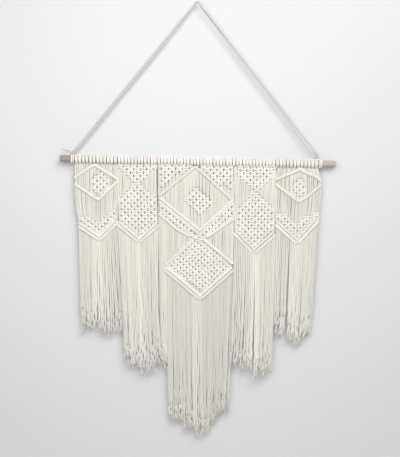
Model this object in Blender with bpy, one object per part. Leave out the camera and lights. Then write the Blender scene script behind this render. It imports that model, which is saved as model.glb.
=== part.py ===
"""Macrame wall hanging on a wooden dowel, at its real size in metres, +Z up.

The origin is the underside of the hanger's bight, where it rests on a nail. The dowel hangs below
it, a little lower at its right end. Five knotted panels hang side by side on the dowel. Each panel
is one body: a heading round the dowel, nets of square knots, hitched ridges, free cords and fringe.
All tables are in millimetres: x to the right of the nail, and the drop below the nail.
"""
import math

import bmesh
import bpy
from mathutils import Vector

MM = 0.001

# Dowel
DOWEL_LEFT = (-379.0, 430.6)
DOWEL_RIGHT = (381.0, 445.8)
DOWEL_RADIUS = 9.0
DOWEL_SIDES = 24
DOWEL_EDGE = 1.2

# Cord and the gap that touching pieces keep
CORD = 4.0
CLEARANCE = 0.3

# Heading of lark's head knots
HEADING_RADIUS = 13.6
HEADING_GROOVE = 1.5
HEADING_SIDES = 8
CORDS_PER_RIDGE = 6
HEADING_WALL_MIDDLE = 10.4

# Depths front to back, each different so that no two faces lie in one plane
NET_DEPTH = 5.4
KNOT_RISE = 1.7
BAR_DEPTH = 10.6
BAR_EDGE = 6.4
BAR_HEIGHT = 7.6
RIDGE_PITCH = 9.4
MITRE_LIMIT = 2.0
STRAND_DEPTH = 3.6
TIE_DEPTH = 3.8

# Free cords run in pairs between ridges
PAIR_FILL = 0.8
TIE_WIDTH = 6.0

# Single cords of the fringe. They drift from the line they leave towards their section's foot,
# sway a little on the way, and end at uneven heights.
FRINGE_WIDTH = 3.3
FRINGE_DEPTH = 3.24
FRINGE_FILL = 0.78
FRINGE_TIP = 0.78
FRINGE_DRIFT_POWER = 1.3
FRINGE_FORWARD_BY = 0.33
FRINGE_SWAY = 2.2
FRINGE_SWAY_STEP = 0.2
FRINGE_UNEVEN = 6.0
FRINGE_UNEVEN_STEP = 2.4
FRINGE_STEPS = 2

# panel, cords, left and right edge of its heading
PANELS = (
    ("outer_left_panel", 24, -338.0, -220.4),
    ("inner_left_panel", 24, -219.6, -111.4),
    ("centre_panel", 48, -110.6, 105.4),
    ("inner_right_panel", 24, 106.2, 214.4),
    ("outer_right_panel", 24, 215.2, 331.6),
)

# Lines across a panel where its work changes. Each runs from its first to its last cord through
# its corners, given as x and drop.
LINES = {
    "outer_left_panel": {
        "arms": (0, 24, ((-338, 487), (-322, 470), (-297, 456), (-279, 455.5), (-250, 470), (-221, 490))),
        "collar": (0, 24, ((-338, 500), (-302, 525), (-273, 544), (-247, 517), (-221.5, 493))),
        "chevron top": (0, 24, ((-323, 574), (-272, 606), (-222, 560))),
        "hem": (0, 24, ((-324, 615), (-270, 652), (-222, 603))),
    },
    "inner_left_panel": {
        "yoke": (0, 24, ((-219, 458), (-165, 498), (-112, 458))),
        "shoulders": (0, 24, ((-216, 552), (-165, 504), (-114, 550))),
        "hem": (0, 24, ((-218, 610), (-161, 658), (-112, 613))),
    },
    "centre_panel": {
        "roof": (0, 48, ((-100, 532), (-9, 457), (-1, 457), (95, 545))),
        "valley": (0, 48, ((-101, 547), (7, 635), (96, 552))),
        "jewel top": (18, 34, ((-26, 553), (4, 518), (35, 553))),
        "jewel foot": (18, 34, ((-26, 553), (4, 590), (35, 553))),
        "band foot": (0, 48, ((-103, 583), (-56, 624), (-20, 646), (4, 656), (28, 646), (96, 596))),
        "diamond top": (4, 48, ((-80, 735), (5, 652), (93, 732))),
        "hem": (4, 48, ((-81, 738), (7, 814), (94, 736))),
    },
    "inner_right_panel": {
        "yoke": (0, 24, ((117, 484), (162, 526), (206, 484))),
        "shoulders": (0, 24, ((112, 572), (162, 531), (207, 574))),
        "hem": (0, 24, ((107, 635), (156, 687), (207, 643))),
    },
    "outer_right_panel": {
        "arms": (0, 24, ((216, 487), (248, 471), (280, 459), (305, 473), (322, 478), (341, 493))),
        "collar": (0, 24, ((217, 500), (280, 549), (297, 540), (341, 508))),
        "chevron top": (0, 24, ((223, 567), (276, 607), (328, 558))),
        "hem": (0, 24, ((224, 611), (275, 658), (328, 600))),
    },
}

# Runs of free cords: panel, line above, line below, first and last cord
RUNS = (
    ("outer_left_panel", "heading", "arms", 0, 24),
    ("outer_left_panel", "arms", "collar", 0, 24),
    ("outer_left_panel", "collar", "chevron top", 0, 24),
    ("inner_left_panel", "yoke", "shoulders", 0, 24),
    ("centre_panel", "roof", "valley", 0, 18),
    ("centre_panel", "roof", "jewel top", 18, 34),
    ("centre_panel", "jewel foot", "valley", 18, 34),
    ("centre_panel", "roof", "valley", 34, 48),
    ("centre_panel", "band foot", "diamond top", 4, 18),
    ("centre_panel", "band foot", "diamond top", 32, 48),
    ("inner_right_panel", "yoke", "shoulders", 0, 24),
    ("outer_right_panel", "heading", "arms", 0, 24),
    ("outer_right_panel", "arms", "collar", 0, 24),
    ("outer_right_panel", "collar", "chevron top", 0, 24),
)

# Hitched ridges: panel, line, how many ridges lie side by side
RIDGES = (
    ("outer_left_panel", "arms", 1),
    ("outer_left_panel", "collar", 1),
    ("outer_left_panel", "hem", 2),
    ("inner_left_panel", "hem", 2),
    ("centre_panel", "roof", 1),
    ("centre_panel", "valley", 2),
    ("centre_panel", "band foot", 1),
    ("centre_panel", "hem", 2),
    ("inner_right_panel", "hem", 2),
    ("outer_right_panel", "arms", 1),
    ("outer_right_panel", "collar", 1),
    ("outer_right_panel", "hem", 2),
)

# Nets of square knots. Knot (a, b) lies a steps along the first step and b along the second.
# A knot is kept while a - b is between lean_low and lean_high, a + b is at most rise, and the
# smaller of a and b is at most deep. Tied nets hang from the heading by their topmost knots.
NET_COLUMNS = ("panel", "start", "first_step", "second_step", "steps_a", "steps_b",
               "lean_low", "lean_high", "rise", "deep", "tied")
NETS = (
    ("outer_left_panel", (-270, 642), (10.2, -10.4), (-11.4, -7.9), 6, 6, -4, 4, 99, 2, False),
    ("outer_left_panel", (-269, 512), (8.8, -8.8), (-8.8, -8.8), 1, 1, -9, 9, 99, 9, False),
    ("inner_left_panel", (-165, 498), (14.8, -12.6), (-14.8, -12.6), 3, 3, -9, 9, 3, 9, True),
    ("inner_left_panel", (-161, 653), (18.4, -18.6), (-19.4, -18.6), 4, 4, -2, 2, 99, 9, False),
    ("centre_panel", (-99, 532), (17.8, -14.3), (-17.8, -14.3), 5, 5, 0, 9, 5, 9, True),
    ("centre_panel", (94, 545), (18.9, -16.6), (-18.9, -16.6), 5, 5, -9, 0, 5, 9, True),
    ("centre_panel", (4, 590), (10.2, -12.2), (-10.2, -12.2), 3, 3, -9, 9, 99, 9, False),
    ("centre_panel", (-98, 553), (11.7, 9.7), (-9.2, 7.6), 9, 2, 0, 9, 99, 9, False),
    ("centre_panel", (94, 557), (-11, 9.8), (11, 9.8), 8, 2, 0, 8, 99, 9, False),
    ("centre_panel", (7, 811), (16.6, -15.8), (-16.6, -15.8), 5, 5, -9, 9, 99, 9, False),
    ("inner_right_panel", (162, 526), (16.4, -16), (-16.4, -16), 4, 4, -2, 2, 4, 9, True),
    ("inner_right_panel", (156, 682), (18.6, -18.9), (-17.1, -18.9), 4, 4, -2, 2, 99, 9, False),
    ("outer_right_panel", (275, 648), (10.6, -11.3), (-10.2, -9.3), 6, 6, -4, 4, 99, 2, False),
    ("outer_right_panel", (275, 512), (8.8, -8.8), (-8.8, -8.8), 1, 1, -9, 9, 99, 9, False),
)
KNOT_SHARE = 0.66

# Fringe in sections: panel, line it leaves, first and last cord, left and right end of the
# section's foot, drop of its first, middle and last cord, and how far forward its foot swings
FRINGES = (
    ("outer_left_panel", "hem", 0, 11, -323, -275, (884, 888, 880), 0),
    ("outer_left_panel", "hem", 11, 24, -262, -221, (907, 905, 893), 0),
    ("inner_left_panel", "hem", 0, 10, -213, -166, (962, 987, 984), 0),
    ("inner_left_panel", "hem", 10, 24, -162, -94, (1000, 1008, 980), 7),
    ("centre_panel", "band foot", 0, 4, -102, -85, (985, 1000, 990), 0),
    ("centre_panel", "hem", 4, 26, -71, 6, (1135, 1168, 1188), 0),
    ("centre_panel", "hem", 26, 48, 10, 86, (1194, 1166, 1108), 0),
    ("inner_right_panel", "hem", 0, 12, 80, 142, (984, 1000, 1020), 9),
    ("inner_right_panel", "hem", 12, 24, 160, 208, (1030, 1034, 1014), 0),
    ("outer_right_panel", "hem", 0, 8, 212, 242, (896, 905, 918), 0),
    ("outer_right_panel", "hem", 8, 24, 245, 317, (925, 934, 905), 0),
)

# Hanger: the middle of its two strands as x, drop and half the space between them in the plane
# of the hanging. Where they lie closer in that plane, one passes behind the other.
STRAND_SPACING = 2.25
HANGER_STEPS = 3
HANGER_ROUTE = (
    (-340.2, 410.8, 2.25),
    (-229, 277, 2.25),
    (-115, 138.5, 2.1),
    (-40, 46.5, 1.4),
    (-12.5, 13, 0.5),
    (-6.5, 3, 0.1),
    (0, -2, 0.0),
    (6.5, 3, 0.1),
    (12.5, 13.5, 0.5),
    (40, 49.5, 1.4),
    (108, 138, 2.2),
    (214.5, 275, 2.25),
    (324.3, 415.6, 2.25),
)

# Hanger knots: wraps round the dowel between two x, and tubes of x, drop, y, half width, half depth
WRAPS = 3
KNOT_SIDES = 8
LEFT_WRAPS = (-351.5, -339.5)
RIGHT_WRAPS = (332.5, 343.5)
LEFT_KNOT = (
    (
        (-346, 420.8, 0, 5.2, 5.2),
        (-344.6, 416.2, 0, 6.2, 5.6),
        (-340.5, 411.2, 0, 5.0, 4.0),
    ),
    (
        (-346, 417, -2, 2.2, 2.2),
        (-351, 411, -3, 2.1, 2.1),
        (-360, 408, -3, 2.0, 2.0),
        (-371, 406, -2, 1.7, 1.7),
    ),
)
RIGHT_KNOT = (
    (
        (338, 433.6, 0, 4.4, 4.4),
        (334.5, 426, 0, 5.4, 5.0),
        (328.4, 421, 0, 5.4, 4.6),
        (324.6, 416, 0, 5.0, 4.0),
    ),
)


def remove_everything():
    for thing in list(bpy.data.objects):
        bpy.data.objects.remove(thing, do_unlink=True)


def material(name, colour, roughness):
    made = bpy.data.materials.new(name)
    made.use_nodes = True
    shader = made.node_tree.nodes["Principled BSDF"]
    shader.inputs["Base Color"].default_value = (*colour, 1.0)
    shader.inputs["Roughness"].default_value = roughness
    shader.inputs["Metallic"].default_value = 0.0
    made.diffuse_color = (*colour, 1.0)
    return made


def place(x, drop, y=0.0):
    """A point in metres from millimetres across, below the nail and back."""
    return Vector((x * MM, y * MM, -drop * MM))


def closed_object(name, points, faces, finish=None):
    """An object from closed pieces, with every face pointing out."""
    mesh = bpy.data.meshes.new(name)
    mesh.from_pydata(points, [], faces)
    shape = bmesh.new()
    shape.from_mesh(mesh)
    bmesh.ops.recalc_face_normals(shape, faces=shape.faces)
    shape.to_mesh(mesh)
    shape.free()
    if finish:
        mesh.materials.append(finish)
    made = bpy.data.objects.new(name, mesh)
    bpy.context.scene.collection.objects.link(made)
    return made


# Dowel ------------------------------------------------------------------------------------------

def dowel_drop(x):
    """Drop of the dowel's centre line at x."""
    share = (x - DOWEL_LEFT[0]) / (DOWEL_RIGHT[0] - DOWEL_LEFT[0])
    return DOWEL_LEFT[1] + share * (DOWEL_RIGHT[1] - DOWEL_LEFT[1])


def lathe_rings(stations, sides):
    """Rings round the dowel's line: each station is x along it and the radius of each side."""
    points = []
    for x, radii in stations:
        for side in range(sides):
            angle = math.tau * (side + 0.5) / sides
            radius = radii[side]
            points.append(place(x, dowel_drop(x) - radius * math.sin(angle), -radius * math.cos(angle)))
    return points


def ring_faces(first, second, sides):
    """Quads from the ring that starts at point first to the one that starts at second."""
    return [
        (first + side, first + (side + 1) % sides, second + (side + 1) % sides, second + side)
        for side in range(sides)
    ]


def make_dowel(finish):
    ends = (
        (DOWEL_LEFT[0], DOWEL_RADIUS - DOWEL_EDGE),
        (DOWEL_LEFT[0] + DOWEL_EDGE, DOWEL_RADIUS),
        (DOWEL_RIGHT[0] - DOWEL_EDGE, DOWEL_RADIUS),
        (DOWEL_RIGHT[0], DOWEL_RADIUS - DOWEL_EDGE),
    )
    points = lathe_rings([(x, [radius] * DOWEL_SIDES) for x, radius in ends], DOWEL_SIDES)
    faces = [tuple(reversed(range(DOWEL_SIDES)))]
    for ring in range(len(ends) - 1):
        faces += ring_faces(ring * DOWEL_SIDES, (ring + 1) * DOWEL_SIDES, DOWEL_SIDES)
    last = (len(ends) - 1) * DOWEL_SIDES
    faces.append(tuple(range(last, last + DOWEL_SIDES)))
    return closed_object("dowel", points, faces, finish)


# Building blocks of the panels ------------------------------------------------------------------

class Solids:
    """Closed pieces gathered into one mesh, to be fused later."""

    def __init__(self):
        self.points = []
        self.faces = []

    def add(self, points, faces):
        base = len(self.points)
        self.points += points
        self.faces += [tuple(base + corner for corner in face) for face in faces]


def loft(sections):
    """Faces of a closed prism through equal rings of points, its ends capped."""
    sides = len(sections[0])
    points = [point for section in sections for point in section]
    faces = [tuple(reversed(range(sides)))]
    for ring in range(len(sections) - 1):
        faces += ring_faces(ring * sides, (ring + 1) * sides, sides)
    last = (len(sections) - 1) * sides
    faces.append(tuple(range(last, last + sides)))
    return points, faces


def strand(stations, depth, sides):
    """A hanging strand of 3 or 4 sides. Each station is x, drop, y and width."""
    sections = []
    for x, drop, y, width in stations:
        back = y + depth / 2
        front = y - depth / 2
        if sides == 3:
            corners = ((-width / 2, back), (width / 2, back), (0.0, front))
        else:
            corners = ((-width / 2, back), (width / 2, back), (width / 2, front), (-width / 2, front))
        sections.append([place(x + across, drop, depth_at) for across, depth_at in corners])
    return loft(sections)


def ridge_profile(count):
    """Section of hitched ridges side by side: offset across the line, and depth. Its edges are
    flat, and each ridge has a crest in front and behind."""
    front = []
    for ridge_index in range(count):
        middle = (ridge_index - (count - 1) / 2) * RIDGE_PITCH
        front.append((middle - BAR_HEIGHT / 2, -BAR_EDGE / 2))
        front.append((middle, -BAR_DEPTH / 2))
    front.append((-front[0][0], -BAR_EDGE / 2))
    back = [(across, -depth) for across, depth in reversed(front)]
    return front + back


def path_normals(path, upright_ends=False):
    """For each point of a path in x and drop, the mitred direction across it. Upright ends are cut
    along a vertical line."""
    normals = []
    for index in range(len(path)):
        before = Vector(path[max(index - 1, 0)])
        here = Vector(path[index])
        after = Vector(path[min(index + 1, len(path) - 1)])
        incoming = (here - before).normalized() if index else (after - here).normalized()
        outgoing = (after - here).normalized() if index < len(path) - 1 else incoming
        along = (incoming + outgoing).normalized()
        stretch = 1.0 / max(along.dot(incoming), 1.0 / MITRE_LIMIT)
        if upright_ends and index in (0, len(path) - 1):
            normals.append(Vector((0.0, 1.0 / along.x)))
        else:
            normals.append(Vector((-along.y, along.x)) * stretch)
    return normals


def ridge(path, count):
    profile = ridge_profile(count)
    sections = []
    for (x, drop), normal in zip(path, path_normals(path, upright_ends=True)):
        sections.append([
            place(x + across * normal.x, drop + across * normal.y, depth) for across, depth in profile
        ])
    return loft(sections)


def tube(stations, sides):
    """A round tube along stations of x, drop, y, half width and half depth."""
    normals = path_normals([(x, drop) for x, drop, y, wide, deep in stations])
    sections = []
    for (x, drop, y, wide, deep), normal in zip(stations, normals):
        unit = normal.normalized()
        section = []
        for side in range(sides):
            angle = math.tau * (side + 0.5) / sides
            across = wide * math.cos(angle)
            section.append(place(x + across * unit.x, drop + across * unit.y, y + deep * math.sin(angle)))
        sections.append(section)
    return loft(sections)


def sleeve(left, right, ridges):
    """A grooved sleeve round the dowel, clear of it inside."""
    inner = (DOWEL_RADIUS + CLEARANCE) / math.cos(math.pi / HEADING_SIDES)
    steps = 2 * ridges
    stations = []
    for step in range(steps + 1):
        groove = 0.0 if step % 2 else HEADING_GROOVE
        x = left + (right - left) * step / steps
        stations.append((x, [HEADING_RADIUS - groove] * HEADING_SIDES))
    for x in (right, left):
        stations.append((x, [inner] * HEADING_SIDES))
    points = lathe_rings(stations, HEADING_SIDES)
    faces = []
    total = len(stations)
    for ring in range(total):
        faces += ring_faces(ring * HEADING_SIDES, (ring + 1) % total * HEADING_SIDES, HEADING_SIDES)
    return points, faces


# Nets -------------------------------------------------------------------------------------------

def kept_knots(net):
    kept = []
    for a in range(net["steps_a"] + 1):
        for b in range(net["steps_b"] + 1):
            lean = a - b
            inside = net["lean_low"] <= lean <= net["lean_high"]
            if inside and a + b <= net["rise"] and min(a, b) <= net["deep"]:
                kept.append((a, b))
    return kept


def knot_centre(net, knot):
    first, second = Vector(net["first_step"]), Vector(net["second_step"])
    return Vector(net["start"]) + first * knot[0] + second * knot[1]


def net_sheet(net):
    """A net: a raised diamond for each knot, joined to its neighbours, with a gap between four."""
    first, second = Vector(net["first_step"]), Vector(net["second_step"])
    upward = (first + second) / 2 * KNOT_SHARE
    sideways = (first - second) / 2 * KNOT_SHARE
    knots = kept_knots(net)
    corner = {}
    flat = []
    for knot in knots:
        centre = knot_centre(net, knot)
        for name, offset in (("n", upward), ("e", sideways), ("s", -upward), ("w", -sideways)):
            corner[knot, name] = len(flat)
            flat.append(centre + offset)
    quads = []
    for a, b in knots:
        here = (a, b)
        beside, above = (a + 1, b), (a, b + 1)
        if beside in knots:
            quads.append((corner[here, "e"], corner[here, "n"], corner[beside, "w"], corner[beside, "s"]))
        if above in knots:
            quads.append((corner[here, "n"], corner[here, "w"], corner[above, "s"], corner[above, "e"]))
    diamonds = [tuple(corner[knot, name] for name in "enws") for knot in knots]
    return thick_sheet(flat, quads, diamonds, [knot_centre(net, knot) for knot in knots])


def thick_sheet(flat, quads, diamonds, peaks):
    """Front and back of flat cells with walls round every gap. Diamonds rise to a peak in front."""
    count = len(flat)
    points = [place(spot.x, spot.y, -NET_DEPTH / 2) for spot in flat]
    points += [place(spot.x, spot.y, NET_DEPTH / 2) for spot in flat]
    faces = []
    uses = {}
    for cell in quads + diamonds:
        faces.append(tuple(count + spot for spot in reversed(cell)))
        for index, spot in enumerate(cell):
            following = cell[(index + 1) % len(cell)]
            uses.setdefault(frozenset((spot, following)), []).append((spot, following))
    faces += quads
    for cell, peak in zip(diamonds, peaks):
        points.append(place(peak.x, peak.y, -NET_DEPTH / 2 - KNOT_RISE))
        for index, spot in enumerate(cell):
            faces.append((spot, cell[(index + 1) % len(cell)], len(points) - 1))
    for directions in uses.values():
        if len(directions) == 1:
            start, end = directions[0]
            faces.append((end, start, count + start, count + end))
    return points, faces


def net_ties(net):
    """Short strands from the heading to the topmost knots of a net."""
    ties = []
    for knot in kept_knots(net):
        if knot[0] + knot[1] == net["rise"]:
            spot = knot_centre(net, knot)
            top = dowel_drop(spot.x) + HEADING_WALL_MIDDLE
            stations = ((spot.x, top, 0.0, TIE_WIDTH), (spot.x, spot.y, 0.0, TIE_WIDTH))
            ties.append(strand(stations, TIE_DEPTH, 4))
    return ties


# Panels -----------------------------------------------------------------------------------------

def heading_line(panel):
    name, cords, left, right = panel
    edges = [(x, dowel_drop(x) + HEADING_WALL_MIDDLE) for x in (left, right)]
    return (0, cords, tuple(edges))


def along_line(line, cord):
    """Where a cord, counted from the panel's left edge, crosses a line."""
    first, last, corners = line
    x = corners[0][0] + (cord - first) / (last - first) * (corners[-1][0] - corners[0][0])
    for (x0, drop0), (x1, drop1) in zip(corners, corners[1:]):
        if x <= x1 or (x1, drop1) == corners[-1]:
            share = (x - x0) / (x1 - x0)
            return x, drop0 + share * (drop1 - drop0)


def run_of_pairs(upper, lower, first, last):
    """Pairs of cords hanging from one line to another."""
    made = []
    for cord in range(first, last, 2):
        stations = []
        for line in (upper, lower):
            x, drop = along_line(line, cord + 1)
            pair = along_line(line, cord + 2)[0] - along_line(line, cord)[0]
            stations.append((x, drop, 0.0, PAIR_FILL * pair))
        made.append(strand(stations, STRAND_DEPTH, 4))
    return made


def fringe_foot(section, share):
    """Drop of the fringe's uneven foot, share of the way across its section."""
    first, middle, last = section
    if share < 0.5:
        return first + (middle - first) * share * 2
    return middle + (last - middle) * (share * 2 - 1)


def fringe(line, first, last, foot_left, foot_right, foot_drops, forward):
    """Single strands of three sides that stand apart below a line."""
    made = []
    count = last - first
    foot_pitch = (foot_right - foot_left) / count
    for cord in range(first, last):
        x, drop = along_line(line, cord + 0.5)
        root_pitch = abs(along_line(line, cord + 1)[0] - along_line(line, cord)[0])
        foot_x = foot_left + foot_pitch * (cord - first + 0.5)
        share = (cord - first + 0.5) / count
        foot = fringe_foot(foot_drops, share) - FRINGE_UNEVEN * abs(math.sin(cord * FRINGE_UNEVEN_STEP))
        stations = []
        for step in range(FRINGE_STEPS + 1):
            t = step / FRINGE_STEPS
            drift = t ** FRINGE_DRIFT_POWER
            sway = FRINGE_SWAY * math.sin(math.tau * t + cord * FRINGE_SWAY_STEP) * t * (1 - t)
            pitch = root_pitch + (foot_pitch - root_pitch) * drift
            width = min(FRINGE_FILL * pitch, FRINGE_WIDTH) * (1 - (1 - FRINGE_TIP) * t)
            across = x + (foot_x - x) * drift + sway
            depth = -forward * min(1, t / FRINGE_FORWARD_BY)
            stations.append((across, drop + (foot - drop) * t, depth, width))
        made.append(strand(stations, FRINGE_DEPTH, 3))
    return made


def named_rows(rows, columns):
    return [dict(zip(columns, row)) for row in rows]


def guide(name, points, faces):
    """A hidden piece that another object's Boolean reads."""
    made = closed_object(name, points, faces)
    made.hide_render = True
    made.display_type = "WIRE"
    return made


def unite(target, other):
    joined = target.modifiers.new("fused", "BOOLEAN")
    joined.operation = "UNION"
    joined.solver = "EXACT"
    joined.use_self = True
    joined.object = other


def make_panel(panel, finish):
    name, cords, left, right = panel
    lines = dict(LINES[name], heading=heading_line(panel))
    work = Solids()
    for owner, upper, lower, first, last in RUNS:
        if owner == name:
            for piece in run_of_pairs(lines[upper], lines[lower], first, last):
                work.add(*piece)
    for owner, line, count in RIDGES:
        if owner == name:
            work.add(*ridge(lines[line][2], count))
    for net in named_rows(NETS, NET_COLUMNS):
        if net["panel"] == name:
            work.add(*net_sheet(net))
            if net["tied"]:
                for tie in net_ties(net):
                    work.add(*tie)
    for owner, line, *section in FRINGES:
        if owner == name:
            for piece in fringe(lines[line], *section):
                work.add(*piece)
    body = closed_object(name, work.points, work.faces, finish)
    unite(body, guide(name + "_heading", *sleeve(left, right, cords // CORDS_PER_RIDGE)))
    return body


# Hanger -----------------------------------------------------------------------------------------

def smooth_route(route):
    """Points along a smooth curve through a route's own points, a few to each of its spans."""
    spots = [Vector(spot) for spot in route]
    padded = [2 * spots[0] - spots[1]] + spots + [2 * spots[-1] - spots[-2]]
    smooth = []
    for index in range(len(spots) - 1):
        p0, p1, p2, p3 = padded[index:index + 4]
        for step in range(HANGER_STEPS):
            t = step / HANGER_STEPS
            linear = (p2 - p0) * t
            square = (2 * p0 - 5 * p1 + 4 * p2 - p3) * t ** 2
            cube = (3 * p1 - p0 - 3 * p2 + p3) * t ** 3
            smooth.append((2 * p1 + linear + square + cube) / 2)
    smooth.append(spots[-1])
    return smooth


def hanger_strand(name, side, finish):
    """One of the hanger's two strands, from the left knot over the nail to the right knot."""
    route = []
    for index, (x, drop, spread) in enumerate(HANGER_ROUTE):
        before = Vector(HANGER_ROUTE[max(index - 1, 0)][:2])
        after = Vector(HANGER_ROUTE[min(index + 1, len(HANGER_ROUTE) - 1)][:2])
        along = (after - before).normalized()
        depth = math.sqrt(max(STRAND_SPACING ** 2 - spread ** 2, 0.0))
        route.append((x + side * spread * -along.y, drop + side * spread * along.x, side * depth))
    spline_points = [place(*spot) for spot in smooth_route(route)]
    curve = bpy.data.curves.new(name, "CURVE")
    curve.dimensions = "3D"
    curve.bevel_depth = CORD * MM / 2
    curve.bevel_resolution = 2
    curve.use_fill_caps = True
    spline = curve.splines.new("POLY")
    spline.points.add(len(spline_points) - 1)
    for point, spot in zip(spline.points, spline_points):
        point.co = (*spot, 1.0)
    curve.materials.append(finish)
    made = bpy.data.objects.new(name, curve)
    bpy.context.scene.collection.objects.link(made)
    return made


def hanger_knot(name, left, right, lumps, finish):
    """Wraps round the dowel with the hitch on top of them and any loose end."""
    work = Solids()
    for stations in lumps:
        work.add(*tube(stations, KNOT_SIDES))
    body = closed_object(name, work.points, work.faces, finish)
    unite(body, guide(name + "_wraps", *sleeve(left, right, WRAPS)))
    return body


def make_everything():
    remove_everything()
    cotton = material("cream cotton cord", (0.76, 0.71, 0.62), 0.9)
    wood = material("pale wood", (0.62, 0.46, 0.34), 0.6)
    make_dowel(wood)
    for panel in PANELS:
        make_panel(panel, cotton)
    hanger_strand("hanger_strand_front", -1, cotton)
    hanger_strand("hanger_strand_back", 1, cotton)
    hanger_knot("hanger_knot_left", *LEFT_WRAPS, LEFT_KNOT, cotton)
    hanger_knot("hanger_knot_right", *RIGHT_WRAPS, RIGHT_KNOT, cotton)


make_everything()
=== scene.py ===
"""Looks of a macrame wall hanging: every cord is modelled as it is worked.

Sizes are in millimetres unless metres are named: x to the right of the nail, the drop below it,
and y, which is negative in front. place() turns them into metres in the frame of the solids. Each
panel has a heading of lark's head knots, nets of square knots, hitched ridges, free cords and an
uneven frayed fringe. A value named SPREAD is the standard deviation of what varies by hand.
"""
import math
from collections import namedtuple
from itertools import product

import bpy
import numpy as np
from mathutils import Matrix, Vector


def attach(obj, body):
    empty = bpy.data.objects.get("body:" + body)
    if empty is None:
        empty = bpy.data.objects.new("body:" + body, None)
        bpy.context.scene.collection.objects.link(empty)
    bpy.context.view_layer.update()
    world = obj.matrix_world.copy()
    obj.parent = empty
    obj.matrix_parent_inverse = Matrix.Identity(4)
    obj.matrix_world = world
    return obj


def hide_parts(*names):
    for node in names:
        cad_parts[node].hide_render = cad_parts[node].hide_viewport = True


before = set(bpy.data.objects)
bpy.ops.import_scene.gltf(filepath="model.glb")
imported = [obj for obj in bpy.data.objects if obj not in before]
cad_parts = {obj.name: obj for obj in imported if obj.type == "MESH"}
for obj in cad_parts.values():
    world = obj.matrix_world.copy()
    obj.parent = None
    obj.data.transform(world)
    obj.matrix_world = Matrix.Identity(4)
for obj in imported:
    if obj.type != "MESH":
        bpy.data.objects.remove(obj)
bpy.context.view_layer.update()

rng = np.random.default_rng(24)

MM = 0.001
BODY = "root"

# Camera, square on to the wall: x and drop it looks at, height it sees there, how far it stands
# off, and the long side of its sensor
VIEW_MIDDLE = (7.2, 624.0)
VIEW_HEIGHT = 1261.0
CAMERA_AWAY = 2600.0
LONG_SENSOR = 36.0

# Dowel: x and drop of its line at each end
DOWEL_LEFT = (-379.0, 430.6)
DOWEL_RIGHT = (381.0, 445.8)
DOWEL_RADIUS = 9.0

# Cord sizes as radii: hanging free, drawn tight in a knot, as a hitch's loop, and the hanger's
FREE = 2.4
TIGHT = 2.25
LOOP = 1.75
HANGER = 2.0

# Sides of a section: a panel's cord, a ply, a hair, and the hanger's knots and strands
CORD_SIDES = 6
PLY_SIDES = 5
HAIR_SIDES = 3
KNOT_SIDES = 8
STRAND_SIDES = 12

# Each cord's map starts at a length of its own, up to this many metres
MAP_START = 8.0

# The share of y in a path's direction from which it counts as going along y
ALONG_Y = 0.9

# Square knots are drawn on a lattice of this pitch and row height, then fitted to each net
KNOT_PITCH = 17.9
KNOT_ROW = 8.6

# Hitched ridges: radius of the loops' middle line, their pitch along the ridge, spacing of ridges
# side by side, how far forward they lie, a loop's stations, how many loops lie between stations of
# the leading cord, and how often a path is rounded
HITCH_RADIUS = 3.1
HITCH_PITCH = 3.4
RIDGE_PITCH = 9.2
RIDGE_FORWARD = 2.2
LOOP_STATIONS = 9
LEADER_LOOPS = 3
ROUNDINGS = 2

# Loops swell and shrink in two slow waves: how much, and how many loops there are to a wave
SWELLS = ((0.05, 7.3), (0.04, 2.9))

# Columns of the tables that follow
Panel = namedtuple("Panel", "cords left right")
Line = namedtuple("Line", "first last corners")
Run = namedtuple("Run", "panel above below first last shift first_bow last_bow")
Ridge = namedtuple("Ridge", "panel line count")
Net = namedtuple("Net", "panel above below start first_step second_step outline")
Fringe = namedtuple("Fringe", "panel line first last left right drops forward late paler")

# Panels: how many cords, and the left and right edge of the heading
PANELS = {
    "outer_left": Panel(24, -338.0, -220.4),
    "inner_left": Panel(24, -219.6, -111.4),
    "centre": Panel(48, -110.6, 105.4),
    "inner_right": Panel(24, 106.2, 214.4),
    "outer_right": Panel(24, 215.2, 331.6),
}

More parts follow.
